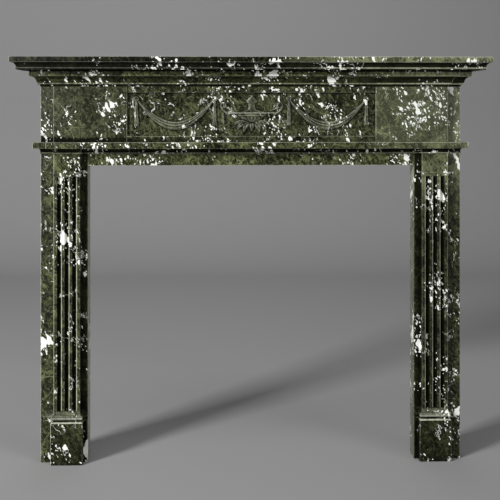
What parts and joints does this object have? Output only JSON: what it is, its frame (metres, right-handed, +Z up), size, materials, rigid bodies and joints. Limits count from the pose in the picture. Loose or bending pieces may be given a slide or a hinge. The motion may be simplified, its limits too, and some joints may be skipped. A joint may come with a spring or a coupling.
{
  "type": "fireplace mantel",
  "caption": "Carved marble fireplace surround: fluted pilaster legs, frieze with swags and an urn, bed moulding and moulded shelf.",
  "frame": {"origin": "on the floor, under the middle of the whole box, shelf included", "axes": "+X along the shelf to the right as seen from the front, +Y back towards the wall, +Z up"},
  "size_m": [1.5316, 0.162, 1.3135],
  "materials": {
    "leg_marble": "satin",
    "moulding_marble": "satin",
    "frieze_marble": "satin",
    "grey_marble": "satin",
    "shelf_marble": "satin"
  },
  "bodies": {
    "root": {"left_leg": "leg_marble", "right_leg": "leg_marble", "lintel": "leg_marble", "impost_moulding": "moulding_marble", "frieze_panel": "frieze_marble", "left_end_block": "frieze_marble", "right_end_block": "grey_marble", "bed_moulding": "moulding_marble", "shelf": "shelf_marble"}
  },
  "joints": []
}
